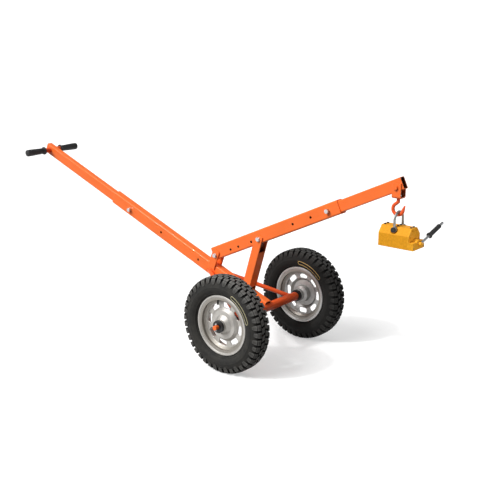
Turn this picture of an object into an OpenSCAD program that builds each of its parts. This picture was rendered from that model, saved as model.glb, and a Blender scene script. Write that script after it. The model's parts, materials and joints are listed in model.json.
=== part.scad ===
// Manhole cover lifter: a two-wheeled lever cart with a telescopic handle, a telescopic
// lifting boom and a switchable lifting magnet hung from the hook at the boom's tip.
// Frame: X forward to the hook, Y to the left wheel, Z up, floor at Z = 0 below the axle.

/* [Handle] */
// Axle to cross bar, measured along the spine
handle_reach = 1550; // [1480:5:1640]
// Rise of the spine above level, in degrees
handle_deg = 21.4; // [18:0.1:25]
// Axle to the mouth of the spine tube
spine_len = 1030; // [990:5:1080]
// Length of the cross bar over its two grips
bar_len = 328; // [310:2:400]

/* [Boom] */
// Rear end to tip of the boom
boom_len = 1070; // [1020:5:1120]
// Rise of the boom above level, in degrees
boom_deg = 25; // [22:0.1:28]
// Length of the outer boom tube
boom_outer_len = 755; // [720:5:790]

/* [Tubes] */
// Height of the outer tubes
tube_h = 60; // [56:1:66]
// Width of the outer tubes
tube_w = 40; // [38:1:46]
// Wall of the outer tubes
tube_wall = 4.5; // [3.5:0.5:5]
// Play on each side of a sliding tube
slide_gap = 0.5; // [0.3:0.1:1]

/* [Wheels] */
// Tyre outside diameter
tyre_od = 428; // [410:2:450]
// Tyre section width
tyre_w = 94; // [90:1:102]
// Rim diameter over its flanges
rim_od = 266; // [256:2:276]
// Distance between the two wheel centres
track = 560; // [540:2:620]

/* [Axle] */
// Axle tube outside diameter
axle_od = 40; // [38:1:46]
// Wheel spindle diameter
stub_d = 20; // [18:1:22]

/* [Bolts] */
// Thread diameter of the boom, clamp and hanger bolts
bolt_d = 10; // [8:1:11]

/* [Magnet] */
// Width of the lifting magnet across its pole face
magnet_w = 88; // [82:1:100]
// Length of the lifting magnet without its lever housing
magnet_len = 135; // [130:1:150]
// Lever length from its axis to its end
lever_len = 186; // [170:2:210]

/* [Hidden] */

$fn = 64;
hex_sides = 6;
left = 1;
right = -1;
sides = [left, right];

// Clearances: cut overrun, running fit, face gap of turning parts, gap of loosely hung parts,
// and the swell of a forged bar at a bend
over = 1;
swell = 0.1;
run_fit = 0.05;
face_gap = 0.1;
loose_gap = 0.35;

// Colours
paint = [0.93, 0.36, 0.10];
paint_dark = [0.80, 0.24, 0.10];
yellow = [0.88, 0.62, 0.13];
zinc = [0.80, 0.81, 0.82];
steel = [0.55, 0.55, 0.53];
dark_steel = [0.20, 0.20, 0.21];
rubber = [0.08, 0.08, 0.08];
brass = [0.75, 0.60, 0.25];

// Tubes and bolts
bore_h = tube_h - 2 * tube_wall;
bore_w = tube_w - 2 * tube_wall;
slide_h = bore_h - 2 * slide_gap;
slide_w = bore_w - 2 * slide_gap;
slide_wall_share = 0.6;
slide_wall = tube_wall * slide_wall_share;
slide_bore_h = slide_h - 2 * slide_wall;
slide_bore_w = slide_w - 2 * slide_wall;
tube_corner = 6.5;
bore_corner = tube_corner - tube_wall;
slide_corner = bore_corner + slide_wall;
bolt_play = 1;
hole_d = bolt_d + bolt_play;
hex_af_share = 1.7;
hex_d = bolt_d * hex_af_share / cos(180 / hex_sides);
head_share = 0.64;
head_h = bolt_d * head_share;
nut_share = 0.8;
nut_h = bolt_d * nut_share;
washer_share = 2;
washer_d = bolt_d * washer_share;
washer_t = 2;
thread_out = 3;

// Spine
axle_z = tyre_od / 2;
rise_share = 0.064;
spine_rise = tube_h * rise_share;
handle_hole_shares = [0.4093, 0.6589];
handle_clamp_share = 0.8779;
handle_clamp_u = spine_len * handle_clamp_share;

// Handle
handle_lap = 170;
bar_back = 27;
bar_d = 25;
bar_wall = 2.5;
bar_lift = 0;
grip_len = 114;
grip_wall = 5;
grip_end = 8;
flange_t = 6;
flange_wall = 7.5;
groove_depth = 1;
groove_w = 2.5;
groove_step = 9;
groove_count = 9;

// Ears and boom pivot
ear_t = 6;
ear_front = 18;
ear_back = 20;
ear_top = 25;
ear_lap = 22;
ear_corner = 6;
pivot_share = 0.3247;
pivot_u = spine_len * pivot_share;
pivot_lift = 48.5;
pivot_n = tube_h / 2 + pivot_lift;
pivot_s = 15.4;
hole_drop_share = 0.15;
hole_drop = tube_h * hole_drop_share;
pivot_x = -pivot_u * cos(handle_deg) + (pivot_n + spine_rise) * sin(handle_deg);
pivot_z = axle_z + pivot_u * sin(handle_deg) + (pivot_n + spine_rise) * cos(handle_deg);

// Boom
post_span_share = 0.369;
post_span = boom_outer_len * post_span_share;
rear_hole_shares = [0.354, 0.533, 0.828];
front_hole_shares = [0.6623, 0.7974];
boom_clamp_share = 0.923;
boom_clamp_s = boom_outer_len * boom_clamp_share;
boom_lap = 100;
tip_back = 30.5;
tip_drop = 7;
tip_s = boom_len - tip_back;
tip_x = pivot_x + (tip_s - pivot_s) * cos(boom_deg) - (hole_drop - tip_drop) * sin(boom_deg);
tip_z = pivot_z + (tip_s - pivot_s) * sin(boom_deg) + (hole_drop - tip_drop) * cos(boom_deg);

// Post
post_wall = 5;
post_depth = 40;
post_foot = 14;
post_top = 16;
post_open = 62;
post_gap = 12;
post_share = 0.1185;
post_u = spine_len * post_share;
post_base_x = -post_u * cos(handle_deg) + (tube_h / 2 + spine_rise) * sin(handle_deg);
post_base_z = axle_z + post_u * sin(handle_deg) + (tube_h / 2 + spine_rise) * cos(handle_deg);
post_bolt_x = pivot_x + post_span * cos(boom_deg);
post_bolt_z = pivot_z + post_span * sin(boom_deg);
post_len = norm([post_bolt_x - post_base_x, post_bolt_z - post_base_z]);
post_deg = atan2(post_bolt_x - post_base_x, post_bolt_z - post_base_z);

// Wheel stations along the axle, measured outward from the wheel centre
wheel_y = track / 2;
rim_w = 59;
sheet = 3;
rim_r = rim_od / 2;
flange_h = 19;
seat_r = rim_r - flange_h;
well_depth = 12;
well_r = seat_r - well_depth;
seat_w = 11;
well_slope = 7;
lip_w = 10;
lip_h = 3;
lip_bevel = 2;
disc_t = 4;
disc_edge = 12;
disc_z = 2;
disc_rise = 13;
disc_knee = 74;
disc_lap_r = 62;
slot_count = 8;
slot_r = 85;
slot_long = 42;
slot_wide = 24;
slot_corner = 8;
slot_turn = 8;
hub_in = -46;
hub_out = 42;
bearing_od = 42;
bearing_w = 12;
hub_wall = 7;
hub_step_r = 40;
hub_step_z = -22;
hub_flange_t = 5;
hub_cone_r = 44;
hub_cone_end = 8;
cap_d = 54;
cap_end = 53;
cap_wall = 4;
seal_d = 54;
seal_end = -55;
valve_r = 4;
valve_in = 8;
valve_len = 26;
valve_lean = 30;
valve_deg = 108;

// Tyre section and tread
tyre_r = tyre_od / 2;
tread_count = 40;
block_share = 0.7;
bead_z = rim_w / 2 - sheet;

// Axle
axle_wall = 4;
axle_bore = axle_od - 2 * axle_wall;
collar_len = 10;
axle_end = wheel_y + seal_end - collar_len;
stub_plug = 65;
collar_d = 30;
axle_washer_d = 30;
axle_washer_t = 2;
stub_past = 21;
stub_out = wheel_y + cap_end + stub_past;
pin_d = 4;
pin_len = 30;
pin_head_share = 2;
pin_station = stub_out - stub_past / 2;

// Braces
brace_d = 20;
brace_in = 18;
brace_u_share = 0.365;
brace_u = spine_len * brace_u_share;
brace_n_share = 0.18;
brace_n = -tube_h * brace_n_share;
brace_x = -brace_u * cos(handle_deg) + (brace_n + spine_rise) * sin(handle_deg);
brace_z = brace_u * sin(handle_deg) + (brace_n + spine_rise) * cos(handle_deg);
brace_y = axle_end - brace_in;

// Hanger
hang_gap = 1;
hang_t = 4;
hang_floor = 6;
hang_w = 40;
hang_ahead = 3;
hang_top = 16.5;
hang_drop = 45;
hang_bend = 9;
hang_in = slide_w / 2 + hang_gap;
hang_out = hang_in + hang_t;

// Hook
hook_d = 14;
hook_r = 22.5;
hook_drop = 44;
hook_start = 130;
hook_stop = 350;
hook_tip_r = 3.5;
hook_tip_rise = 17.8;
hook_tip_out = 6.5;
hook_nut_af_share = 1.5;
hook_nut_d = hook_d * hook_nut_af_share / cos(180 / hex_sides);
hook_nut_h = 8;
hook_washer_d = 2 * (hang_in - hang_bend + hang_t);
hook_washer_t = 1.6;
hook_end = 2;
hook_x = tip_x + hang_ahead;
hook_z = tip_z - hang_drop - hook_drop;
hook_neck_z = hook_r / sin(hook_start);

// Shackle
bow_d = 10;
bow_r = 32;
bow_shift = 5.5;
bow_leg = 35;
eye_d = 22;
eye_t = 10;
bow_x = hook_x + bow_shift;
bow_seat = hook_r - hook_d / 2 - bow_d / 2 - loose_gap;
bow_top_z = hook_z - sqrt(bow_seat * bow_seat - bow_shift * bow_shift);
pin_z = bow_top_z - bow_r - bow_leg;
shackle_pin_d = 12;
pin_head_d = 20;
pin_head_t = 6;

// Magnet, upright below the shackle pin
pin_above = 70;
magnet_z = pin_z - pin_above;
eave_h = 53;
ridge_h = 81;
ridge_w = 42;
cover_t = 6;
magnet_ahead = 4;
magnet_x = bow_x + magnet_ahead - magnet_len / 2;
magnet_end = magnet_x + magnet_len;
recess_d = 32;
recess_in = bow_r - eye_t / 2 - loose_gap;
rotor_h = 22;
rotor_d = 33;
rotor_gap = 0.5;
shaft_d = 16;
tail_d = 12;
tail_len = 4;
strip_w = 5;
strip_t = 3.5;
housing_t = 21;
housing_h = 30;
boss_d = 34;
ridge_screw_d = 9;
ridge_screw_head = 4;
ridge_screw_shank = 5;
ridge_screw_len = 4;
ridge_row = 10;
ridge_pitch_share = 0.43;
housing_screw_d = 6;
housing_screw_in = 6;
housing_screw_h = 8;
hub_disc_d = 16;
hub_disc_t = 13;
lever_deg = 16.6;
rod_d = 10.5;
rod_end_d = 12.5;
rod_end_len = 14;
guard_share = 0.4;
grip_start = lever_len * guard_share;
grip_share = 0.43;
lever_grip_len = lever_len * grip_share;
lever_grip_d = 18.5;
guard_d = 24.5;
guard_t = 4;
rib_step_share = 0.1;
rib_count = 9;
rib_depth = 1;

// Axis helpers
module along_y(y) { translate([0, y, 0]) rotate([-90, 0, 0]) children(); }
module on_spine() {
    translate([0, 0, axle_z]) rotate([0, handle_deg, 0]) translate([0, 0, spine_rise]) children();
}
module on_boom() {
    translate([pivot_x, 0, pivot_z]) rotate([0, -boom_deg, 0])
        translate([-pivot_s, 0, hole_drop]) children();
}
module on_post() { translate([post_base_x, 0, post_base_z]) rotate([0, post_deg, 0]) children(); }
module on_wheel(side) { translate([0, side * wheel_y, axle_z]) rotate([-90 * side, 0, 0]) children(); }
module on_axle(side) { translate([0, 0, axle_z]) rotate([-90 * side, 0, 0]) children(); }
module ring(od, id, t) {
    difference() {
        cylinder(d = od, h = t);
        translate([0, 0, -over]) cylinder(d = id, h = t + 2 * over);
    }
}
module cross_hole(d) { rotate([90, 0, 0]) cylinder(d = d, h = track, center = true); }
module hex(d, t) { cylinder(d = d, h = t, $fn = hex_sides); }
module bar_x(x, len, w, h, r) {
    translate([x, 0, 0]) rotate([90, 0, 90]) linear_extrude(len) {
        translate([r - w / 2, -h / 2]) square([w - 2 * r, h]);
        translate([-w / 2, r - h / 2]) square([w, h - 2 * r]);
        for (sx = [-1, 1], sy = [-1, 1]) translate([sx * (w / 2 - r), sy * (h / 2 - r)]) circle(r = r);
    }
}

// Frame
module spine_body() { on_spine() bar_x(-spine_len, spine_len, tube_w, tube_h, tube_corner); }
module axle_body() { translate([0, 0, axle_z]) cross_hole(axle_od); }

module spine_tube() {
    color(paint) difference() {
        spine_body();
        on_spine() bar_x(-spine_len - over, spine_len + 2 * over, bore_w, bore_h, bore_corner);
        on_spine() for (share = handle_hole_shares)
            translate([-spine_len * share, 0, 0]) cross_hole(hole_d);
        on_spine() translate([-handle_clamp_u, 0, 0])
            along_y(-tube_w) cylinder(d = bolt_d, h = tube_w);
        axle_body();
    }
}

module axle_tube() {
    color(paint_dark) translate([0, 0, axle_z]) along_y(-axle_end)
        ring(axle_od, axle_bore, 2 * axle_end);
}

module stub(side) {
    color(paint) difference() {
        on_axle(side) {
            translate([0, 0, axle_end - stub_plug]) cylinder(d = axle_bore, h = stub_plug);
            translate([0, 0, axle_end]) cylinder(d = collar_d, h = collar_len - face_gap);
            translate([0, 0, axle_end - over]) cylinder(d = stub_d, h = stub_out - axle_end + over);
        }
        translate([0, side * pin_station, axle_z]) cylinder(d = pin_d, h = track, center = true);
    }
}
module stub_left() { stub(left); }
module stub_right() { stub(right); }

module axle_washers() {
    color(dark_steel) for (side = sides) on_axle(side)
        translate([0, 0, wheel_y + cap_end + face_gap]) ring(axle_washer_d, stub_d, axle_washer_t);
}

module split_pins() {
    color(zinc) for (side = sides) translate([0, side * pin_station, axle_z]) {
        cylinder(d = pin_d, h = pin_len, center = true);
        translate([0, 0, pin_len / 2]) sphere(d = pin_d * pin_head_share);
    }
}

module brace(side) {
    a = [0, side * brace_y, axle_z];
    v = [brace_x, -side * brace_y, brace_z];
    color(paint_dark) difference() {
        translate(a) rotate([0, acos(v[2] / norm(v)), atan2(v[1], v[0])])
            cylinder(d = brace_d, h = norm(v));
        spine_body();
        axle_body();
    }
}
module brace_left() { brace(left); }
module brace_right() { brace(right); }

module ear(side) {
    color(paint) on_spine() translate([-pivot_u, side * tube_w / 2, pivot_n]) difference() {
        translate([-ear_back, side > 0 ? 0 : -ear_t, tube_h / 2 - pivot_n - ear_lap])
            cube([ear_back + ear_front, ear_t, pivot_n - tube_h / 2 + ear_lap + ear_top]);
        cross_hole(hole_d);
        for (end = [-ear_back, ear_front]) translate([end, 0, ear_top])
            rotate([0, 45, 0]) cube([ear_corner, track, ear_corner], center = true);
    }
}
module ear_left() { ear(left); }
module ear_right() { ear(right); }

module post_wall_at(x, foot) {
    on_post() translate([x, -(tube_w + post_wall) / 2, foot])
        cube([post_wall, tube_w + post_wall, post_len - post_open - foot]);
}

module boom_post() {
    color(paint) difference() {
        union() {
            on_post() for (side = sides)
                translate([-post_depth / 2, (side * (tube_w + post_wall) - post_wall) / 2, -post_foot])
                    cube([post_depth, post_wall, post_len + post_foot + post_top]);
            post_wall_at(post_depth / 2 - post_wall, post_gap);
            difference() {
                post_wall_at(-post_depth / 2, -post_foot);
                spine_body();
            }
        }
        on_post() translate([0, 0, post_len]) cross_hole(hole_d);
    }
}

module boom_outer() {
    color(paint) on_boom() difference() {
        bar_x(0, boom_outer_len, tube_w, tube_h, tube_corner);
        bar_x(-over, boom_outer_len + 2 * over, bore_w, bore_h, bore_corner);
        for (s = [0, post_span]) translate([pivot_s + s, 0, -hole_drop]) cross_hole(hole_d);
        for (share = rear_hole_shares)
            translate([pivot_s + post_span * share, 0, -hole_drop]) cross_hole(hole_d);
        for (share = front_hole_shares)
            translate([boom_outer_len * share, 0, 0]) cross_hole(hole_d);
        translate([boom_clamp_s, 0, 0]) along_y(-tube_w) cylinder(d = bolt_d, h = tube_w);
    }
}

// The two boom bolts share one set of stations: plate thickness outside the tube at each
boom_bolt_s = [0, post_span];
boom_bolt_plate = [ear_t, post_wall];
module at_boom_bolts() {
    for (i = [0, 1]) on_boom() translate([pivot_s + boom_bolt_s[i], 0, -hole_drop]) {
        $grip_y = tube_w / 2 + boom_bolt_plate[i];
        children();
    }
}

module boom_bolts() {
    color(zinc) at_boom_bolts() {
        along_y(-$grip_y - washer_t - head_h) hex(hex_d, head_h);
        along_y(-$grip_y - washer_t - over)
            cylinder(d = bolt_d, h = 2 * ($grip_y + washer_t) + nut_h + thread_out + over);
    }
}

module boom_washers() {
    color(zinc) at_boom_bolts() {
        along_y(-$grip_y - washer_t) ring(washer_d, bolt_d, washer_t);
        along_y($grip_y) ring(washer_d, bolt_d, washer_t);
    }
}

module boom_nuts() {
    color(zinc) at_boom_bolts() along_y($grip_y + washer_t) difference() {
        hex(hex_d, nut_h);
        translate([0, 0, -over]) cylinder(d = bolt_d, h = nut_h + 2 * over);
    }
}

module at_clamps() {
    on_spine() translate([-handle_clamp_u, 0, 0]) children();
    on_boom() translate([boom_clamp_s, 0, 0]) children();
}

module clamp_bolts() {
    color(zinc) at_clamps() {
        along_y(-tube_w / 2 - nut_h - head_h) hex(hex_d, head_h);
        along_y(-tube_w / 2 - nut_h - over)
            cylinder(d = bolt_d, h = nut_h + over + tube_wall + slide_gap - face_gap);
    }
}

module clamp_nuts() {
    color(zinc) at_clamps() along_y(-tube_w / 2 - nut_h) difference() {
        hex(hex_d, nut_h);
        translate([0, 0, -over]) cylinder(d = bolt_d, h = nut_h + 2 * over);
    }
}

// Handle
handle_in = spine_len - handle_lap;
handle_out = handle_reach + bar_back;
module handle_tube() {
    color(paint) on_spine() difference() {
        bar_x(-handle_out, handle_out - handle_in, slide_w, slide_h, slide_corner);
        bar_x(-handle_out - over, handle_out - handle_in + 2 * over, slide_bore_w, slide_bore_h,
            bore_corner);
        translate([-handle_reach, 0, bar_lift]) cross_hole(bar_d);
    }
}

bar_half = bar_len / 2 - grip_end;
module t_bar() {
    color(paint) on_spine() translate([-handle_reach, 0, bar_lift])
        along_y(-bar_half) ring(bar_d, bar_d - 2 * bar_wall, 2 * bar_half);
}

module grip(side) {
    grip_r = bar_d / 2 + grip_wall;
    color(rubber) on_spine() translate([-handle_reach, 0, bar_lift]) rotate([-90 * side, 0, 0])
        translate([0, 0, bar_len / 2 - grip_len]) difference() {
            union() {
                cylinder(r = grip_r, h = grip_len - grip_end);
                translate([0, 0, grip_len - grip_end])
                    cylinder(r1 = grip_r, r2 = bar_d / 2 - grip_wall, h = grip_end);
                cylinder(r = bar_d / 2 + flange_wall, h = flange_t);
            }
            translate([0, 0, -over]) cylinder(d = bar_d, h = grip_len - grip_end + over);
            for (i = [1:groove_count]) translate([0, 0, flange_t + i * groove_step])
                ring(2 * (grip_r + over), 2 * (grip_r - groove_depth), groove_w);
        }
}
module grip_left() { grip(left); }
module grip_right() { grip(right); }

// Boom slide and hanger
boom_in = boom_outer_len - boom_lap;
module boom_inner() {
    color(paint) on_boom() difference() {
        bar_x(boom_in, boom_len - boom_in, slide_w, slide_h, slide_corner);
        bar_x(boom_in - over, boom_len - boom_in + 2 * over, slide_bore_w, slide_bore_h, bore_corner);
        translate([tip_s, 0, -tip_drop]) cross_hole(bolt_d);
    }
}

tip_face = hang_out + face_gap;
module tip_bolt() {
    color(paint) translate([tip_x, 0, tip_z]) {
        along_y(-tip_face - head_h) cylinder(d = hex_d, h = head_h);
        along_y(-tip_face - over) cylinder(d = bolt_d, h = 2 * tip_face + nut_h + over);
    }
}

module tip_nut() {
    color(zinc) translate([tip_x, 0, tip_z]) along_y(tip_face) difference() {
        hex(hex_d, nut_h);
        translate([0, 0, -over]) cylinder(d = bolt_d, h = nut_h + 2 * over);
    }
}

module hanger_section(half, foot, r) {
    translate([-half, foot + r]) square([2 * half, hang_top - foot - r]);
    translate([-half + r, foot]) square([2 * (half - r), r + over]);
    for (s = [-1, 1]) translate([s * (half - r), foot + r]) circle(r = r);
}

module hanger() {
    color(paint) translate([tip_x, 0, tip_z]) difference() {
        translate([hang_ahead - hang_w / 2, 0, 0]) rotate([90, 0, 90]) linear_extrude(hang_w) difference() {
            hanger_section(hang_out, -hang_drop, hang_bend);
            translate([0, over]) hanger_section(hang_in, hang_floor - hang_drop - over, hang_bend - hang_t);
        }
        cross_hole(bolt_d + 2 * run_fit);
        translate([hang_ahead, 0, -hang_drop - over])
            cylinder(d = hook_d + 2 * run_fit, h = hang_floor + 2 * over);
        for (end = [-1, 1]) translate([hang_ahead + end * hang_w / 2, 0, -hang_drop])
            rotate([0, 45, 0]) cube([hang_t, track, hang_t], center = true);
    }
}

// Hook
hook_seat = hook_drop + hang_floor + face_gap;
module hook() {
    bar_r = hook_d / 2;
    color(paint_dark) translate([hook_x, 0, hook_z]) {
        translate([0, 0, hook_neck_z]) {
            cylinder(d = hook_d, h = hook_seat + hook_washer_t + hook_nut_h + hook_end - hook_neck_z);
            sphere(d = hook_d + 2 * swell);
            rotate([0, -hook_start, 0])
                cylinder(d = hook_d - 2 * swell, h = hook_r * tan(hook_start - 90) + over);
        }
        rotate([90, 0, 0]) rotate([0, 0, hook_start]) rotate_extrude(angle = hook_stop - hook_start)
            translate([hook_r, 0]) circle(d = hook_d);
        translate([hook_r * cos(hook_stop), 0, hook_r * sin(hook_stop)]) {
            sphere(d = hook_d + 2 * swell);
            rotate([0, atan2(hook_tip_out, hook_tip_rise), 0])
                cylinder(r1 = bar_r, r2 = hook_tip_r, h = norm([hook_tip_out, hook_tip_rise]));
            translate([hook_tip_out, 0, hook_tip_rise]) sphere(r = hook_tip_r + swell);
        }
    }
}

module hook_washer() {
    color(zinc) translate([hook_x, 0, hook_z + hook_seat]) ring(hook_washer_d, hook_d, hook_washer_t);
}

module hook_nut() {
    color(zinc) translate([hook_x, 0, hook_z + hook_seat + hook_washer_t]) difference() {
        hex(hook_nut_d, hook_nut_h);
        translate([0, 0, -over]) cylinder(d = hook_d, h = hook_nut_h + 2 * over);
    }
}

// Shackle
module shackle() {
    color(steel) translate([bow_x, 0, pin_z]) difference() {
        union() {
            translate([0, 0, bow_leg]) rotate([90, 0, 90]) rotate_extrude(angle = 180)
                translate([bow_r, 0]) circle(d = bow_d);
            for (side = sides) translate([0, side * bow_r, 0]) {
                cylinder(d = bow_d, h = bow_leg);
                along_y(-eye_t / 2) cylinder(d = eye_d, h = eye_t);
            }
        }
        cross_hole(shackle_pin_d + 2 * run_fit);
    }
}

pin_face = bow_r + eye_t / 2 + loose_gap;
module shackle_pin() {
    color(dark_steel) translate([bow_x, 0, pin_z]) {
        along_y(-pin_face) cylinder(d = shackle_pin_d, h = 2 * pin_face);
        for (side = sides) rotate([-90 * side, 0, 0])
            translate([0, 0, pin_face]) cylinder(d = pin_head_d, h = pin_head_t);
    }
}

// Magnet
house = [[-magnet_w / 2, 0], [magnet_w / 2, 0], [magnet_w / 2, eave_h], [ridge_w / 2, ridge_h],
    [-ridge_w / 2, ridge_h], [-magnet_w / 2, eave_h]];
module house_slab(x, len) {
    translate([x, 0, magnet_z]) rotate([90, 0, 90]) linear_extrude(len) polygon(house);
}
module on_rotor(x) { translate([x, 0, magnet_z + rotor_h]) rotate([0, 90, 0]) children(); }
module at_ridge_screws() {
    for (i = [-1, 0, 1], side = sides)
        translate([bow_x + magnet_ahead + i * magnet_len * ridge_pitch_share, side * ridge_row,
            magnet_z + ridge_h]) children();
}
module at_housing_screws() {
    for (side = sides) translate([magnet_end + housing_t, side * (magnet_w / 2 - housing_screw_in),
        magnet_z + housing_screw_h]) rotate([0, -90, 0]) children();
}

module magnet_body() {
    color(yellow) difference() {
        house_slab(magnet_x + cover_t, magnet_len - 2 * cover_t);
        on_rotor(magnet_x) cylinder(d = rotor_d + 2 * rotor_gap, h = magnet_len);
        translate([bow_x, 0, pin_z]) {
            cross_hole(shackle_pin_d);
            for (side = sides) rotate([-90 * side, 0, 0]) translate([0, 0, recess_in])
                cylinder(d = recess_d, h = magnet_w);
        }
        at_ridge_screws() translate([0, 0, -ridge_screw_len])
            cylinder(d = ridge_screw_shank, h = ridge_screw_len + over);
        translate([magnet_x, -strip_w / 2, magnet_z - over]) cube([magnet_len, strip_w, strip_t + over]);
    }
}

module pole_strip() {
    color(brass) translate([magnet_x + cover_t, -strip_w / 2, magnet_z])
        cube([magnet_len - 2 * cover_t, strip_w, strip_t]);
}

module magnet_cover_front() {
    color(yellow) difference() {
        house_slab(magnet_end - cover_t, cover_t);
        on_rotor(magnet_x) cylinder(d = shaft_d + 2 * run_fit, h = 2 * magnet_len);
    }
}

module magnet_cover_rear() {
    color(yellow) difference() {
        house_slab(magnet_x, cover_t);
        on_rotor(magnet_x + cover_t - tail_len - rotor_gap) cylinder(d = tail_d + 2 * run_fit, h = cover_t);
    }
}

module lever_housing() {
    color(yellow) difference() {
        union() {
            translate([magnet_end, -magnet_w / 2, magnet_z]) cube([housing_t, magnet_w, housing_h]);
            on_rotor(magnet_end) cylinder(d = boss_d, h = housing_t);
        }
        on_rotor(magnet_x) cylinder(d = shaft_d + 2 * run_fit, h = 2 * magnet_len);
        at_housing_screws() translate([0, 0, -over])
            cylinder(d = housing_screw_d, h = housing_screw_in + over);
    }
}

module ridge_screws() {
    color(dark_steel) at_ridge_screws() {
        cylinder(d = ridge_screw_d, h = ridge_screw_head);
        translate([0, 0, -ridge_screw_len]) cylinder(d = ridge_screw_shank, h = ridge_screw_len + over);
    }
}

module housing_screws() {
    color(dark_steel) at_housing_screws() cylinder(d = housing_screw_d, h = housing_screw_in);
}

// Rotor and lever
rotor_x = magnet_x + cover_t + rotor_gap;
rotor_end = magnet_end - cover_t - rotor_gap;
hub_face = magnet_end + housing_t + rotor_gap;
module rotor() {
    color(steel) {
        on_rotor(rotor_x) cylinder(d = rotor_d, h = rotor_end - rotor_x);
        on_rotor(rotor_x - tail_len) cylinder(d = tail_d, h = tail_len + over);
        on_rotor(rotor_end - over) cylinder(d = shaft_d, h = hub_face - rotor_end + over);
    }
}

module on_lever() {
    translate([hub_face + hub_disc_t / 2, 0, magnet_z + rotor_h]) rotate([lever_deg - 90, 0, 0]) children();
}

module lever_hub() {
    color(yellow) difference() {
        on_rotor(hub_face) cylinder(d = hub_disc_d, h = hub_disc_t);
        on_lever() cylinder(d = rod_d, h = lever_len);
    }
}

module lever_rod() {
    color(zinc) on_lever() {
        cylinder(d = rod_d, h = lever_len - rod_end_len);
        translate([0, 0, lever_len - rod_end_len]) cylinder(d = rod_end_d, h = rod_end_len - rod_end_d / 2);
        translate([0, 0, lever_len - rod_end_d / 2]) sphere(d = rod_end_d);
    }
}

module lever_guard() {
    color(rubber) on_lever() translate([0, 0, grip_start - guard_t]) ring(guard_d, rod_d, guard_t);
}

module lever_grip() {
    rib_step = lever_grip_len * rib_step_share;
    color(rubber) on_lever() translate([0, 0, grip_start]) difference() {
        cylinder(d = lever_grip_d, h = lever_grip_len);
        translate([0, 0, -over]) cylinder(d = rod_d, h = lever_grip_len + 2 * over);
        for (i = [1:rib_count]) translate([0, 0, i * rib_step])
            ring(lever_grip_d + 2 * over, lever_grip_d - 2 * rib_depth, rib_step / 2);
    }
}

// Wheels: profiles are [radius, distance outward from the wheel centre]
half_w = rim_w / 2;
seat_z = half_w - sheet - seat_w;
well_z = seat_z - well_slope;
function backward(list) = [for (i = [len(list) - 1:-1:0]) list[i]];
function mirrored(list) = [for (p = backward(list)) [p[0], -p[1]]];
rim_half = [[well_r, well_z], [seat_r, seat_z], [seat_r, half_w - sheet], [rim_r, half_w - sheet],
    [rim_r, half_w + lip_h - lip_bevel], [rim_r - lip_bevel, half_w + lip_h],
    [rim_r - lip_w + lip_bevel, half_w + lip_h], [rim_r - lip_w, half_w], [seat_r - sheet, half_w],
    [seat_r - sheet, seat_z], [well_r - sheet, well_z]];

module rim(side) {
    color(steel) difference() {
        on_wheel(side) rotate_extrude() polygon(concat(rim_half, mirrored(rim_half)));
        valve_body(side);
    }
}
module rim_left() { rim(left); }
module rim_right() { rim(right); }

disc_r = well_r - sheet;
disc_top = disc_z + disc_rise;
hub_r = bearing_od / 2 + hub_wall;
module disc(side) {
    color(steel) on_wheel(side) difference() {
        rotate_extrude() polygon([[hub_r, disc_top], [disc_lap_r, disc_top], [disc_knee, disc_z],
            [disc_r - disc_t, disc_z], [disc_r - disc_t, disc_z - disc_edge], [disc_r, disc_z - disc_edge],
            [disc_r, disc_z + disc_t], [disc_knee, disc_z + disc_t], [disc_lap_r, disc_top + disc_t],
            [hub_r, disc_top + disc_t]]);
        for (i = [1:slot_count]) rotate([0, 0, i * 360 / slot_count - (side == right ? slot_turn : 0)])
            translate([slot_r, 0, 0]) slot();
    }
}
module slot() {
    for (sx = [-1, 1], sy = [-1, 1])
        translate([sx * (slot_wide / 2 - slot_corner), sy * (slot_long / 2 - slot_corner), 0])
            cylinder(r = slot_corner, h = rim_w, center = true);
    cube([slot_wide - 2 * slot_corner, slot_long, rim_w], center = true);
    cube([slot_wide, slot_long - 2 * slot_corner, rim_w], center = true);
}
module disc_left() { disc(left); }
module disc_right() { disc(right); }

module hub(side) {
    bore_r = bearing_od / 2;
    color(steel) on_wheel(side) rotate_extrude() polygon([[bore_r, hub_in], [hub_r, hub_in],
        [hub_r, hub_step_z - hub_wall], [hub_step_r, hub_step_z], [hub_step_r, disc_top - 2 * hub_flange_t],
        [disc_lap_r, disc_top - hub_flange_t], [disc_lap_r, disc_top], [hub_r, disc_top],
        [hub_r, disc_top + disc_t], [hub_cone_r, disc_top + disc_t], [hub_r, hub_out - hub_cone_end],
        [hub_r, hub_out], [bore_r, hub_out]]);
}
module hub_left() { hub(left); }
module hub_right() { hub(right); }

module bearings(side) {
    color(steel) on_wheel(side) for (z = [hub_in, hub_out - bearing_w])
        translate([0, 0, z]) ring(bearing_od, stub_d + 2 * run_fit, bearing_w);
}
module bearings_left() { bearings(left); }
module bearings_right() { bearings(right); }

module hub_cap(side) {
    color(rubber) on_wheel(side) translate([0, 0, hub_out]) difference() {
        cylinder(d = cap_d, h = cap_end - hub_out);
        translate([0, 0, -over]) cylinder(d = cap_d - 2 * cap_wall, h = cap_end - hub_out - cap_wall + over);
        cylinder(d = stub_d + 2 * loose_gap, h = cap_end);
    }
}
module hub_cap_left() { hub_cap(left); }
module hub_cap_right() { hub_cap(right); }

module hub_seal(side) {
    color(rubber) on_wheel(side) translate([0, 0, seal_end])
        ring(seal_d, stub_d + 2 * loose_gap, hub_in - seal_end);
}
module hub_seal_left() { hub_seal(left); }
module hub_seal_right() { hub_seal(right); }

module valve_body(side) {
    on_wheel(side) rotate([0, 0, -side * valve_deg])
        translate([(well_r + seat_r) / 2 - sheet, 0, (well_z + seat_z) / 2]) rotate([0, valve_lean - 90, 0])
            translate([0, 0, -valve_in]) cylinder(r = valve_r, h = valve_len);
}
module valve(side) { color(rubber) valve_body(side); }
module valve_left() { valve(left); }
module valve_right() { valve(right); }

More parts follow.
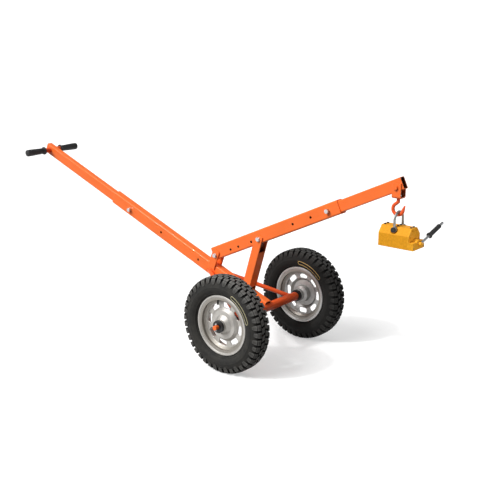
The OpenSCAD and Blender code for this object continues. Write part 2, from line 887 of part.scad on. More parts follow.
// Tyre section shares: height above the rim flange, and width, each as a share of its full measure
wall_shares = [[0.02, 0.6], [0.1, 0.82], [0.25, 0.97], [0.4, 1], [0.54, 0.965], [0.66, 0.89],
    [0.77, 0.77], [0.85, 0.6], [0.89, 0.42]];
in_shares = [[0, 0.38], [0.2, 0.8], [0.4, 0.84], [0.6, 0.8], [0.74, 0.66], [0.8, 0.35]];
crown_shares = [[0.85, 0.04], [1, 0.04], [1, 0.405], [0.85, 0.405]];
lug_shares = [[0.85, 0.48], [0.996, 0.48], [0.96, 0.72], [0.88, 0.85], [0.75, 0.925], [0.66, 0.96],
    [0.585, 0.985], [0.565, 0.88], [0.68, 0.8], [0.78, 0.66]];
function section(shares) = [for (p = shares) [rim_r + (tyre_r - rim_r) * p[0], tyre_w / 2 * p[1]]];
tyre_half = concat([[seat_r, bead_z], [rim_r, bead_z]], section(wall_shares));
cavity_half = concat([[seat_r - over, seat_z - over]], section(in_shares));

// One row of tread blocks: its section, on which half, and how far it is turned, as a share of a step
module tread_row(half, turn_share) {
    step = 360 / tread_count;
    for (i = [1:tread_count]) rotate([0, 0, (i + turn_share) * step])
        rotate_extrude(angle = step * block_share) polygon(half);
}
module tyre(side) {
    crown = section(crown_shares);
    lug = section(lug_shares);
    color(rubber) on_wheel(side) {
        rotate_extrude() difference() {
            polygon(concat(tyre_half, mirrored(tyre_half)));
            polygon(concat(cavity_half, mirrored(cavity_half)));
        }
        tread_row(crown, 0.25);
        tread_row(mirrored(crown), 0.75);
        tread_row(lug, 0.75);
        tread_row(mirrored(lug), 0.25);
    }
}
module tyre_left() { tyre(left); }
module tyre_right() { tyre(right); }

spine_tube();
axle_tube();
stub_left();
stub_right();
axle_washers();
split_pins();
brace_left();
brace_right();
ear_left();
ear_right();
boom_post();
boom_outer();
boom_bolts();
boom_nuts();
boom_washers();
clamp_bolts();
clamp_nuts();
handle_tube();
t_bar();
grip_left();
grip_right();
boom_inner();
tip_bolt();
tip_nut();
hanger();
hook();
hook_nut();
hook_washer();
shackle();
shackle_pin();
magnet_body();
magnet_cover_front();
magnet_cover_rear();
lever_housing();
pole_strip();
ridge_screws();
housing_screws();
rotor();
lever_hub();
lever_rod();
lever_guard();
lever_grip();
tyre_left();
rim_left();
disc_left();
hub_left();
bearings_left();
hub_cap_left();
hub_seal_left();
valve_left();
tyre_right();
rim_right();
disc_right();
hub_right();
bearings_right();
hub_cap_right();
hub_seal_right();
valve_right();
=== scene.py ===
"""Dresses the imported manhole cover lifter: paint, rubber and metal finishes for its CAD parts,
knobby tyres, rolled wheel slots, weld beads and hand grips, on a plain pale stage."""

import json
import math

import bmesh
import bpy
from bpy.props import FloatProperty, FloatVectorProperty, IntProperty, PointerProperty
from bpy.types import Operator, Panel, PropertyGroup
from mathutils import Matrix, Vector


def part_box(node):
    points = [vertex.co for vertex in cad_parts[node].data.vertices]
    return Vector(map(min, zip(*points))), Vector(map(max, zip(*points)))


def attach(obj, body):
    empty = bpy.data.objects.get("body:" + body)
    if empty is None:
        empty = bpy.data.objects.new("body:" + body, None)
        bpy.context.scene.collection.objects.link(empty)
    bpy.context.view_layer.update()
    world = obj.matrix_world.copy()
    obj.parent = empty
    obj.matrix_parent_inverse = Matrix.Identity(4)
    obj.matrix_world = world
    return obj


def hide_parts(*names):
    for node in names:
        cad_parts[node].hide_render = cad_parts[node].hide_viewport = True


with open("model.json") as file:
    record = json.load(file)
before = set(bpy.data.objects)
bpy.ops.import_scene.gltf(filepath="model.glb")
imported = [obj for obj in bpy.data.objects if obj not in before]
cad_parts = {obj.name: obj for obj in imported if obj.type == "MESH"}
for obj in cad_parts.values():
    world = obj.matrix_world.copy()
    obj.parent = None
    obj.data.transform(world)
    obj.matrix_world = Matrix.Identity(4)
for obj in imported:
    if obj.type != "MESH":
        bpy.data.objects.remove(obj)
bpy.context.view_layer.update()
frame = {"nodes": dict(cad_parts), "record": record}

bl_info = {
    "name": "Manhole Cover Lifter",
    "version": (1, 0, 0),
    "blender": (4, 5, 0),
    "location": "View3D > Sidebar > Lifter",
    "description": "Finishes and fittings for a two-wheeled manhole cover lifter",
    "category": "Object",
}

MM = 0.001
SIDES = {"left": 1, "right": -1}
AXLE = Vector((0.0, 0.0, sum(c.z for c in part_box("axle_tube")) / 2))
# Slope of the spine in degrees, and how far its middle line passes above the axle's
SPINE_DEG = 21.4
SPINE_RISE = 3.84 * MM
# What the camera looks at and half the floor's side, in metres, and the camera's sensor in millimetres
CAMERA_AIM = Vector((-0.1531, 0, 0.5016))
FLOOR_REACH = 30000.0
SENSOR_WIDTH = 36.0
# Where the lamp before the magnet stands, what it is aimed at and its side, in metres; its cone in degrees
LAMP_SPREAD = 60
LAMP_PLACE = Vector((1.08, -0.10, 0.62))
LAMP_AIM = Vector((0.72, 0, 0.64))
LAMP_SIZE = 0.15


def turned(degrees, along, up):
    """A point of a tube's own plane, tilted about Y by its slope: along runs forward, up across."""
    a = math.radians(degrees)
    return along * math.cos(a) + up * math.sin(a), up * math.cos(a) - along * math.sin(a)


def on_spine(along, across, up):
    """A point given along the handle tube from the axle, in metres, in the shared frame."""
    x, z = turned(SPINE_DEG, along, up + SPINE_RISE)
    return Vector((x, across, AXLE.z + z))


# Settings


def colour(name, text, default):
    return FloatVectorProperty(
        name=name, description=text, subtype="COLOR", size=3, min=0, max=1, default=default
    )


def length(name, text, default):
    return FloatProperty(name=name, description=text, subtype="DISTANCE", unit="LENGTH", default=default)


def angle(name, text, degrees):
    return FloatProperty(name=name, description=text, subtype="ANGLE", default=math.radians(degrees))


def strength(name, text, default):
    return FloatProperty(name=name, description=text, default=default, min=0)


class LifterColours(PropertyGroup):
    """Base colours of the finishes."""

    orange: colour("Orange paint", "Tubes, ears, post and hanger", (0.90, 0.165, 0.028))
    red: colour("Red paint", "Axle, braces, cross bar and hook", (0.80, 0.105, 0.024))
    yellow: colour("Yellow paint", "Magnet body", (0.66, 0.285, 0.016))
    # Painted light: lighter than the sides' yellow of the same paint, standing in for light on the end
    # faces, which lie in shade.
    cast: colour("Cast paint", "End faces and lever block of the magnet", (0.74, 0.335, 0.022))
    rim: colour("Rim steel", "Rims, wheel discs and hubs", (0.49, 0.487, 0.482))
    zinc: colour("Zinc", "Bolts, nuts and washers", (0.56, 0.57, 0.58))
    steel: colour("Steel", "Shackle, rotor and bearings", (0.27, 0.275, 0.27))
    dark: colour("Dark steel", "Shackle pin, screws and axle washers", (0.035, 0.036, 0.039))
    brass: colour("Brass", "Strip between the poles", (0.62, 0.42, 0.14))
    tyre: colour("Tyre rubber", "Tyres and valves", (0.020, 0.0195, 0.0185))
    grip: colour("Grip rubber", "Hand grips and lever grip", (0.014, 0.014, 0.015))
    plastic: colour("Black plastic", "Hub caps and seals", (0.012, 0.012, 0.013))
    band: colour("Sidewall line", "Painted outline on the far tyre's wall", (0.60, 0.40, 0.13))
    faded: colour("Faded line", "Painted outline on the near tyre's wall", (0.50, 0.46, 0.27))


class LifterTyres(PropertyGroup):
    """Sizes of the tyre tread and the wheel slots."""

    blocks: IntProperty(name="Blocks", description="Tread blocks round each row", default=40, min=8, max=80)
    depth: length("Tread depth", "Height of a tread block", 10.0 * MM)
    edge: length("Block edge", "Chamfer of a tread block", 1.2 * MM)
    groove: length("Shoulder groove", "Depth of the line between top blocks and wall lugs", 2.6 * MM)
    lip: length("Slot lip", "Radius of the rolled edge round a wheel slot", 2.6 * MM)
    line: length("Sidewall line", "Radius of the line on the tyre wall", 1.3 * MM)


class LifterSteelwork(PropertyGroup):
    """Sizes of the weld beads."""

    bead: length("Bead", "Half width of a weld bead", 2.1 * MM)
    ripple: length("Ripple", "Distance from ripple to ripple", 2.0 * MM)


class LifterStage(PropertyGroup):
    """Floor, light and camera."""

    floor: colour("Floor", "Floor colour", (0.62, 0.62, 0.62))
    glow: strength("Glow", "Light of the floor itself, against hard shadows", 0.42)
    sun: strength("Key light", "Strength of the broad light from the near side", 2.6)
    edge: strength("Edge light", "Strength of the small light that draws lines on rounded edges", 1.6)
    top: strength("Top light", "Strength of the light from straight above", 0.5)
    back: strength("Back light", "Strength of the light on the far side", 1.3)
    lamp: strength("Lamp", "Watts of the lamp before the magnet", 0.09)
    sky: strength("Sky", "Strength of the light from above", 0.28)
    dusk: strength("Dusk", "Strength of the light from below", 0.06)
    lens: FloatProperty(name="Lens", description="Camera lens", subtype="DISTANCE_CAMERA", default=70.0)
    azimuth: angle("Azimuth", "Camera direction", 39.58)
    elevation: angle("Elevation", "Camera height", 14.49)
    distance: length("Distance", "Camera to its aim", 4.2098)


# Node helpers


class Graph:
    """Adds and links the nodes of one tree."""

    def __init__(self, tree):
        self.tree = tree

    def add(self, kind, inputs=None, **settings):
        node = self.tree.nodes.new(kind)
        for key, value in settings.items():
            setattr(node, key, value)
        for key, value in (inputs or {}).items():
            self.feed(node.inputs[key], value)
        return node

    def feed(self, socket, value):
        if isinstance(value, bpy.types.NodeSocket):
            self.tree.links.new(value, socket)
        else:
            socket.default_value = value

    def math(self, operation, a, b=0.0):
        return self.add("ShaderNodeMath", {0: a, 1: b}, operation=operation).outputs[0]

    def parts(self, vector):
        """The X, Y and Z of a vector."""
        return self.add("ShaderNodeSeparateXYZ", {0: vector}).outputs


# Finishes

# Materials made so far, by name: the record's slots and the sidewall lines
FINISHES = {}
# Radii over which a rim's well is painted dark as shade from its floor and clears again at its lip, in
# metres
WELL_FLOOR = (0.099, 0.102)
WELL_LIP = (0.119, 0.1235)
# Radii over which the tread's tops are painted paler, partly as wear and partly as painted highlight, and
# places along Y over which the far tyre is painted darker as shade and the near rim grows browner and
# darker, in metres
WORN_AND_HIGHLIT_TREAD = (0.190, 0.211)
SHADED_AND_DUSTY_SIDE = (0.42, -0.22)
# Value of a tread block's mesh that paints its top paler, partly as wear and partly as painted highlight:
# one on the brink of its top, less inside it, nought down its flanks
RUBBED_AND_HIGHLIT = "rubbed_and_highlit"


class Finish(Graph):
    """A material on Object coordinates, with one Principled shader."""

    def __init__(self, name):
        self.material = bpy.data.materials.new(name)
        self.material.use_nodes = True
        super().__init__(self.material.node_tree)
        self.shader = self.tree.nodes["Principled BSDF"]
        self.place = self.add("ShaderNodeTexCoord").outputs["Object"]

    def noise(self, scale, detail=3.0, roughness=0.5, stretch=None):
        place = self.place
        if stretch:
            place = self.add("ShaderNodeMapping", {"Vector": place, "Scale": stretch}).outputs[0]
        inputs = {"Vector": place, "Scale": scale, "Detail": detail, "Roughness": roughness}
        return self.add("ShaderNodeTexNoise", inputs).outputs["Fac"]

    def ramp(self, value, low, high, to_low=0.0, to_high=1.0):
        node = self.add(
            "ShaderNodeMapRange",
            {"Value": value, "From Min": low, "From Max": high, "To Min": to_low, "To Max": to_high},
        )
        return node.outputs[0]

    def mix(self, share, a, b):
        node = self.add("ShaderNodeMix", data_type="RGBA")
        self.feed(node.inputs["Factor"], share)
        self.feed(node.inputs[6], a)
        self.feed(node.inputs[7], b)
        return node.outputs[2]

    def edges(self, radius):
        """One along the sharp edges of a part, and nought on its faces."""
        soft = self.add("ShaderNodeBevel", {"Radius": radius}, samples=4).outputs[0]
        flat = self.add("ShaderNodeNewGeometry").outputs["Normal"]
        facing = self.add("ShaderNodeVectorMath", {0: soft, 1: flat}, operation="DOT_PRODUCT")
        return self.ramp(facing.outputs["Value"], 0.995, 0.80), soft

    def from_axle(self):
        """Places measured from the axle's line, and how far they lie from it."""
        inputs = {"Vector": self.place, "Location": (-AXLE.x, 0, -AXLE.z), "Scale": (1, 0, 1)}
        centred = self.add("ShaderNodeMapping", inputs).outputs[0]
        radius = self.add("ShaderNodeVectorMath", {0: centred}, operation="LENGTH").outputs["Value"]
        return centred, radius

    def painted_hollow_shade(self, reach):
        """Painted shade: one deep in a part's own hollows, such as the inside of a tube, and nought in the
        open.
        """
        node = self.add("ShaderNodeAmbientOcclusion", {"Distance": reach}, samples=8, only_local=True)
        return self.ramp(node.outputs["AO"], 0.80, 0.40)

    def bump(self, height, depth, normal=None, strength=1.0):
        inputs = {"Height": height, "Distance": depth, "Strength": strength}
        if normal is not None:
            inputs["Normal"] = normal
        return self.add("ShaderNodeBump", inputs).outputs[0]

    def set(self, **sockets):
        for key, value in sockets.items():
            self.feed(self.shader.inputs[key.replace("_", " ")], value)
        return self.material


def shade(rgb, share):
    return (rgb[0] * share, rgb[1] * share, rgb[2] * share, 1.0)


def sprayed(name, rgb, peel=0.00012, coat=0.22, lighten=1.22):
    """Sprayed paint on steel: cloudy tone, orange peel, chipped edges, a few dull scuffs and painted shade
    in its hollows.
    """
    f = Finish(name)
    edge, soft = f.edges(0.0022)
    cloud = f.ramp(f.noise(7.0, 4.0), 0.30, 0.70)
    tone = f.mix(cloud, shade(rgb, 0.93), shade(rgb, 1.05))
    scuff = f.ramp(f.noise(38.0, 6.0, 0.7, (1.0, 3.0, 1.0)), 0.62, 0.78, 0.0, 0.35)
    tone = f.mix(scuff, tone, shade(rgb, 0.80))
    chip = f.math("MULTIPLY", edge, f.ramp(f.noise(60.0, 4.0, 0.7), 0.35, 0.60))
    tone = f.mix(f.math("MULTIPLY", chip, 0.55), tone, shade([min(1.0, c * lighten + 0.06) for c in rgb], 1.0))
    # Painted shade: the paint's hollows, such as the inside of a tube, are darkened nearly to black.
    tone = f.mix(f.painted_hollow_shade(0.12), tone, shade(rgb, 0.05))
    rough = f.ramp(f.noise(24.0, 5.0), 0.3, 0.7, 0.30, 0.44)
    rough = f.math("ADD", rough, f.math("MULTIPLY", scuff, 0.5))
    normal = f.bump(f.noise(420.0, 2.0), peel, soft, 0.6)
    return f.set(
        Base_Color=tone,
        Roughness=rough,
        Normal=normal,
        Coat_Weight=coat,
        Coat_Roughness=0.06,
        Specular_IOR_Level=0.12,
    )


def cast(name, rgb, depth=0.0006, deep=0.80):
    """Paint over rough cast iron: pitted skin, darker in its pits."""
    f = Finish(name)
    edge, soft = f.edges(0.0020)
    pits = f.noise(150.0, 6.0, 0.65)
    tone = f.mix(f.ramp(pits, 0.34, 0.60), shade(rgb, deep), shade(rgb, 1.06))
    tone = f.mix(f.ramp(f.noise(28.0, 4.0), 0.55, 0.80, 0.0, 0.4), tone, shade(rgb, 0.86))
    tone = f.mix(f.math("MULTIPLY", edge, 0.35), tone, shade([min(1.0, c * 1.2 + 0.03) for c in rgb], 1.0))
    rough = f.ramp(pits, 0.3, 0.7, 0.62, 0.42)
    normal = f.bump(pits, depth, soft, 0.8)
    return f.set(Base_Color=tone, Roughness=rough, Normal=normal, Specular_IOR_Level=0.06)


def plated(name, rgb, rough, stain=0.82, metallic=1.0, grain=90.0):
    """Plated or bare steel with a cloudy film, fine scratches and dull stains."""
    f = Finish(name)
    edge, soft = f.edges(0.0012)
    film = f.ramp(f.noise(grain, 5.0, 0.6), 0.30, 0.70)
    tone = f.mix(film, shade(rgb, stain), shade(rgb, 1.04))
    tone = f.mix(f.math("MULTIPLY", edge, 0.5), tone, shade([min(1.0, c * 1.25) for c in rgb], 1.0))
    gloss = f.ramp(f.noise(grain * 2.2, 4.0), 0.3, 0.7, rough - 0.07, rough + 0.10)
    scratch = f.noise(520.0, 2.0, 0.5, (1.0, 0.15, 1.0))
    normal = f.bump(scratch, 0.00006, soft, 0.5)
    return f.set(Base_Color=tone, Metallic=metallic, Roughness=gloss, Normal=normal)


def rolled(name, rgb):
    """Galvanised wheel steel: turned rings about the axle, spangle, a brown bloom in the hollows, painted
    shade in the rim's well, and a browner, darker tone towards the near side.
    """
    f = Finish(name)
    edge, soft = f.edges(0.0016)
    centred, radius = f.from_axle()
    rings = f.add(
        "ShaderNodeTexWave",
        {"Vector": centred, "Scale": 190.0, "Distortion": 0.6, "Detail": 1.0},
        wave_type="RINGS",
        rings_direction="Y",
    ).outputs["Fac"]
    spangle = f.add("ShaderNodeTexVoronoi", {"Vector": f.place, "Scale": 130.0}).outputs["Distance"]
    tone = f.mix(f.ramp(spangle, 0.1, 0.8), shade(rgb, 0.92), shade(rgb, 1.06))
    tone = f.mix(f.ramp(f.noise(70.0, 5.0, 0.7), 0.42, 0.66, 0.0, 0.40), tone, shade(rgb, 0.62))
    dusty = f.ramp(f.parts(f.place)[1], *SHADED_AND_DUSTY_SIDE, 0.0, 0.42)
    tone = f.mix(dusty, tone, (rgb[0] * 0.92, rgb[1] * 0.84, rgb[2] * 0.72, 1.0))
    bloom = f.ramp(f.noise(16.0, 6.0, 0.62), 0.52, 0.76, 0.0, 0.34)
    tone = f.mix(bloom, tone, (rgb[0] * 0.66, rgb[1] * 0.60, rgb[2] * 0.52, 1.0))
    # Painted shade: the rim's well is darkened between its floor and its lip.
    well = f.math("MULTIPLY", f.ramp(radius, *WELL_FLOOR), f.ramp(radius, *WELL_LIP, 0.75, 0.0))
    tone = f.mix(well, tone, (rgb[0] * 0.42, rgb[1] * 0.38, rgb[2] * 0.32, 1.0))
    tone = f.mix(f.math("MULTIPLY", edge, 0.5), tone, shade([min(1.0, c * 1.25) for c in rgb], 1.0))
    gloss = f.math("ADD", f.ramp(spangle, 0.1, 0.8, 0.38, 0.52), f.math("MULTIPLY", bloom, 0.35))
    normal = f.bump(rings, 0.00008, soft, 0.5)
    return f.set(Base_Color=tone, Metallic=0.6, Roughness=gloss, Normal=normal, Specular_IOR_Level=0.6)


def moulded(name, rgb, dust, rough, grain, depth, radius=0.0012, gleam=0.4, rubbed_and_highlit=1.9, tyre=False):
    """Rubber or plastic from a mould: fine skin, dull dust and paler edges; on a tyre the tread is painted
    paler, partly as wear and partly as painted highlight, the gaps between its blocks are painted black as
    shade, and the far wheel is painted darker as shade."""
    f = Finish(name)
    edge, soft = f.edges(radius)
    skin = f.noise(grain, 4.0, 0.6)
    dusty = f.ramp(f.noise(22.0, 6.0, 0.65), 0.40, 0.72, 0.0, 0.8)
    tone = f.mix(dusty, shade(rgb, 1.0), (rgb[0] + dust, rgb[1] + dust * 0.90, rgb[2] + dust * 0.70, 1.0))
    if tyre:
        from_axle = f.from_axle()[1]
        block = f.add("ShaderNodeAttribute", attribute_name=RUBBED_AND_HIGHLIT).outputs["Fac"]
        # Painted shade: the gaps between the tread blocks are darkened nearly to black.
        tone = f.mix(f.painted_hollow_shade(0.020), tone, shade(rgb, 0.10))
        # Wear and painted highlight: the tops of the tread blocks, their brinks most, are painted paler the
        # further out they lie.
        lighten = f.math("MULTIPLY", block, f.ramp(from_axle, *WORN_AND_HIGHLIT_TREAD, 0.35, 1.0))
        tone = f.mix(lighten, tone, shade(rgb, rubbed_and_highlit))
        # Painted shade: the tyres are painted darker towards the far side, down to a quarter of their tone.
        tone = f.mix(f.ramp(f.parts(f.place)[1], *SHADED_AND_DUSTY_SIDE), shade(rgb, 0.25), tone)
    else:
        tone = f.mix(f.math("MULTIPLY", edge, 0.6), tone, shade(rgb, rubbed_and_highlit))
    gloss = f.ramp(skin, 0.3, 0.7, rough - 0.06, rough + 0.06)
    gloss = f.math("ADD", gloss, f.math("MULTIPLY", dusty, 0.08))
    normal = f.bump(skin, depth, soft, 0.7)
    return f.set(Base_Color=tone, Roughness=gloss, Normal=normal, Specular_IOR_Level=gleam)


def finishes():
    """The record's finish slots and the materials that stand for them, made once."""
    if "orange_paint" in FINISHES:
        return FINISHES
    c = bpy.context.scene.lifter_colours
    FINISHES.update(
        orange_paint=sprayed("sprayed orange", c.orange),
        red_paint=sprayed("sprayed red", c.red, 0.00016, 0.16),
        yellow_paint=cast("cast yellow", c.yellow, 0.0002, 0.86),
        cast_yellow=cast("pitted yellow", c.cast),
        rim_steel=rolled("galvanised rim", c.rim),
        zinc=plated("zinc plate", c.zinc, 0.27),
        steel=plated("bare steel", c.steel, 0.42, 0.80, 0.7),
        dark_steel=plated("dark forged steel", c.dark, 0.36, 0.62, 0.7, 60.0),
        brass=plated("brass strip", c.brass, 0.34),
        tyre_rubber=moulded("tyre rubber", c.tyre, 0.024, 0.70, 260.0, 0.0003, 0.0016, 0.18, 7.5, True),
        grip_rubber=moulded("grip rubber", c.grip, 0.006, 0.58, 520.0, 0.00025),
        black_plastic=moulded("black plastic", c.plastic, 0.006, 0.42, 340.0, 0.00015),
        sidewall_line=moulded("sidewall line", c.band, 0.03, 0.60, 300.0, 0.0002),
        faded_line=moulded("faded line", c.faded, 0.03, 0.60, 300.0, 0.0002),
    )
    return FINISHES


# Mesh helpers


def piece(name, mesh, slot, body, replaced=(), finish=None):
    """Puts a finished mesh in the scene, on a body, standing for the CAD nodes it replaces."""
    obj = bpy.data.objects.get(name)
    if obj is None:
        obj = bpy.data.objects.new(name, mesh)
        bpy.context.scene.collection.objects.link(obj)
    obj.data = mesh
    mesh.name = name
    mesh.materials.clear()
    mesh.materials.append(finishes()[finish or slot])
    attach(obj, body)
    if replaced:
        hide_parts(*replaced)
    return obj


def mesh_of(bm, name, smooth=None):
    """Turns a bmesh into a mesh with outward faces, smooth where no edge is sharper than smooth degrees."""
    mesh = bpy.data.meshes.new(name)
    bmesh.ops.recalc_face_normals(bm, faces=bm.faces[:])
    if smooth:
        for face in bm.faces:
            face.smooth = True
        for edge in bm.edges:
            edge.smooth = len(edge.link_faces) == 2 and edge.calc_face_angle(0.0) < math.radians(smooth)
    bm.to_mesh(mesh)
    bm.free()
    return mesh


def lathe(bm, outline, centre, turns, flutes=0):
    """Spins a closed outline of (radius, along Y, depth of flutes) about the Y axis through a centre."""
    rings = []
    for radius, along, *cut in outline:
        ring = []
        for i in range(turns if radius else 1):
            a = 2 * math.pi * i / turns
            r = radius - (cut[0] * (0.5 - 0.5 * math.cos(flutes * a)) if cut else 0.0)
            ring.append(bm.verts.new(centre + Vector((r * math.cos(a), along, r * math.sin(a)))))
        rings.append(ring)
    for inner, outer in zip(rings, rings[1:] + rings[:1]):
        for i in range(turns if len(inner) + len(outer) > 2 else 0):
            j = (i + 1) % turns
            corners = [inner[i % len(inner)], inner[j % len(inner)]]
            corners += [outer[j % len(outer)], outer[i % len(outer)]]
            bm.faces.new(list(dict.fromkeys(corners)))


def lines(name, paths):
    """A mesh of open or closed polylines, each (points, closed)."""
    mesh = bpy.data.meshes.new(name)
    verts, edges = [], []
    for points, closed in paths:
        first = len(verts)
        verts += [tuple(p) for p in points]
        edges += [(i, i + 1) for i in range(first, len(verts) - 1)]
        if closed:
            edges.append((len(verts) - 1, first))
    mesh.from_pydata(verts, edges, [])
    return mesh


# Geometry Nodes


def new_tree(name, inputs):
    """A Geometry Nodes tree with a geometry in and out and these named inputs."""
    tree = bpy.data.node_groups.new(name, "GeometryNodeTree")
    tree.interface.new_socket("Geometry", in_out="INPUT", socket_type="NodeSocketGeometry")
    tree.interface.new_socket("Geometry", in_out="OUTPUT", socket_type="NodeSocketGeometry")
    for label, kind, default in inputs:
        socket = tree.interface.new_socket(label, in_out="INPUT", socket_type="NodeSocket" + kind)
        if default is not None:
            socket.default_value = default
    graph = Graph(tree)
    return graph, graph.add("NodeGroupInput").outputs, graph.add("NodeGroupOutput").inputs[0]


def close_tree(graph, out, geometry, material):
    """Every tree ends in real geometry with its material set."""
    real = graph.add("GeometryNodeRealizeInstances", {0: geometry}).outputs[0]
    done = graph.add("GeometryNodeSetMaterial", {"Geometry": real, "Material": material}).outputs[0]
    graph.feed(out, done)
    return graph.tree


def grown(name, mesh, tree, **values):
    """Runs a tree on a mesh and returns the object with the plain result as its mesh."""
    obj = bpy.data.objects.new(name, mesh)
    bpy.context.scene.collection.objects.link(obj)
    modifier = obj.modifiers.new(tree.name, "NODES")
    modifier.node_group = tree
    for item in tree.interface.items_tree:
        if item.in_out == "INPUT" and item.name in values:
            modifier[item.identifier] = values[item.name]
    depsgraph = bpy.context.evaluated_depsgraph_get()
    result = bpy.data.meshes.new_from_object(obj.evaluated_get(depsgraph), depsgraph=depsgraph)
    obj.modifiers.clear()
    obj.data = result
    return obj


def tread_row_tree():
    """One row of blocks, laid out flat and wrapped round the tyre over its section."""
    g, given, out = new_tree(
        "tread_row",
        [
            ("Blocks", "Int", 40),
            ("Every", "Int", 1),
            ("Place", "Float", 0.0),
            ("Wide", "Float", 0.017),
            ("Share", "Float", 0.6),
            ("Lean", "Float", 0.0),
            ("Taper", "Float", 0.0),
            ("Way", "Float", 1.0),
            ("Phase", "Float", 0.0),
            ("Sink", "Float", 0.0),
            ("Depth", "Float", 0.010),
            ("Edge", "Float", 0.001),
        ],
    )
    section = g.add("GeometryNodeMeshToCurve", {"Mesh": given["Geometry"]}).outputs[0]
    whole = g.add("GeometryNodeCurveLength", {0: section}).outputs[0]
    block = g.add(
        "GeometryNodeMeshCube", {"Size": (1, 1, 1), "Vertices X": 3, "Vertices Y": 7, "Vertices Z": 3}
    ).outputs["Mesh"]
    local = g.parts(g.add("GeometryNodeInputPosition").outputs[0])
    top = g.math("GREATER_THAN", local[2], 0.25)
    foot = g.math("LESS_THAN", local[2], -0.25)
    brink = g.math("GREATER_THAN", g.math("ABSOLUTE", local[0]), 0.25)
    brink = g.math("MAXIMUM", brink, g.math("GREATER_THAN", g.math("ABSOLUTE", local[1]), 0.45))
    # Mask for the paler tread tops, partly wear and partly painted highlight: strongest on the brink of a
    # block's top.
    rubbed_and_highlit = g.math("MULTIPLY", top, g.math("ADD", g.math("MULTIPLY", brink, 0.6), 0.4))
    named = {"Geometry": block, "Name": RUBBED_AND_HIGHLIT, "Value": rubbed_and_highlit}
    block = g.add("GeometryNodeStoreNamedAttribute", named).outputs[0]
    spread = g.math("ADD", g.math("MULTIPLY", top, -0.13), g.math("MULTIPLY", foot, 0.06))
    spread = g.math("ADD", spread, 1.0)
    outward = g.math("ADD", g.math("MULTIPLY", local[1], given["Way"]), 0.5)
    narrow = g.math("SUBTRACT", 1.0, g.math("MULTIPLY", g.math("POWER", outward, 4.0), given["Taper"]))
    high = g.math("MULTIPLY", g.math("SUBTRACT", top, 1.0), given["Edge"])
    high = g.math("SUBTRACT", high, given["Sink"])
    rise = g.math("ADD", given["Edge"], given["Sink"])
    low = g.math("MULTIPLY", foot, g.math("SUBTRACT", rise, given["Depth"]))
    long = g.math("MULTIPLY", g.math("MULTIPLY", local[0], given["Share"]), narrow)
    shaped = g.add(
        "ShaderNodeCombineXYZ",
        {
            0: g.math("MULTIPLY", long, spread),
            1: g.math("MULTIPLY", g.math("MULTIPLY", local[1], given["Wide"]), spread),
            2: g.math("ADD", high, low),
        },
    ).outputs[0]
    block = g.add("GeometryNodeSetPosition", {"Geometry": block, "Position": shaped}).outputs[0]
    pitch = g.add("ShaderNodeCombineXYZ", {0: given["Every"]}).outputs[0]
    count = g.math("DIVIDE", given["Blocks"], given["Every"])
    row = g.add("GeometryNodeMeshLine", {"Count": count, "Offset": pitch}).outputs[0]
    row = g.add("GeometryNodeInstanceOnPoints", {"Points": row, "Instance": block}).outputs[0]
    row = g.add("GeometryNodeRealizeInstances", {0: row}).outputs[0]
    flat = g.parts(g.add("GeometryNodeInputPosition").outputs[0])
    reach = g.math("ADD", g.math("ADD", flat[1], given["Place"]), g.math("MULTIPLY", whole, 0.5))
    sample = g.add("GeometryNodeSampleCurve", {"Curves": section, "Length": reach}, mode="LENGTH").outputs
    base = g.parts(sample["Position"])
    tangent = g.parts(sample["Tangent"])
    radius = g.math("ADD", base[0], g.math("MULTIPLY", tangent[1], flat[2]))
    across = g.math("SUBTRACT", base[1], g.math("MULTIPLY", tangent[0], flat[2]))
    step = g.math("ADD", g.math("ADD", flat[0], given["Phase"]), g.math("MULTIPLY", flat[1], given["Lean"]))
    angle = g.math("DIVIDE", g.math("MULTIPLY", step, -2 * math.pi), given["Blocks"])
    wrapped = g.add(
        "ShaderNodeCombineXYZ",
        {
            0: g.math("MULTIPLY", radius, g.math("COSINE", angle)),
            1: across,
            2: g.math("MULTIPLY", radius, g.math("SINE", angle)),
        },
    ).outputs[0]
    done = g.add("GeometryNodeSetPosition", {"Geometry": row, "Position": wrapped}).outputs[0]
    g.feed(out, done)
    return g.tree


def tread_tree(rows):
    """All rows of one tyre, moved to the wheel."""
    g, given, out = new_tree(
        "tyre_tread",
        [
            ("Blocks", "Int", 40),
            ("Depth", "Float", 0.010),
            ("Edge", "Float", 0.001),
            ("Turn", "Float", 0.0),
            ("Centre", "Vector", None),
            ("Rubber", "Material", None),
        ],
    )
    row_tree = tread_row_tree()
    join = g.add("GeometryNodeJoinGeometry")
    for row in rows:
        node = g.add("GeometryNodeGroup", node_tree=row_tree)
        for key in ("Geometry", "Blocks", "Depth", "Edge"):
            g.feed(node.inputs[key], given[key])
        for key, value in row.items():
            g.feed(node.inputs[key], value)
        g.feed(node.inputs["Phase"], g.math("ADD", given["Turn"], row["Phase"]))
        g.tree.links.new(node.outputs[0], join.inputs[0])
    placed = {"Geometry": join.outputs[0], "Translation": given["Centre"]}
    moved = g.add("GeometryNodeTransform", placed).outputs[0]
    return close_tree(g, out, moved, given["Rubber"])


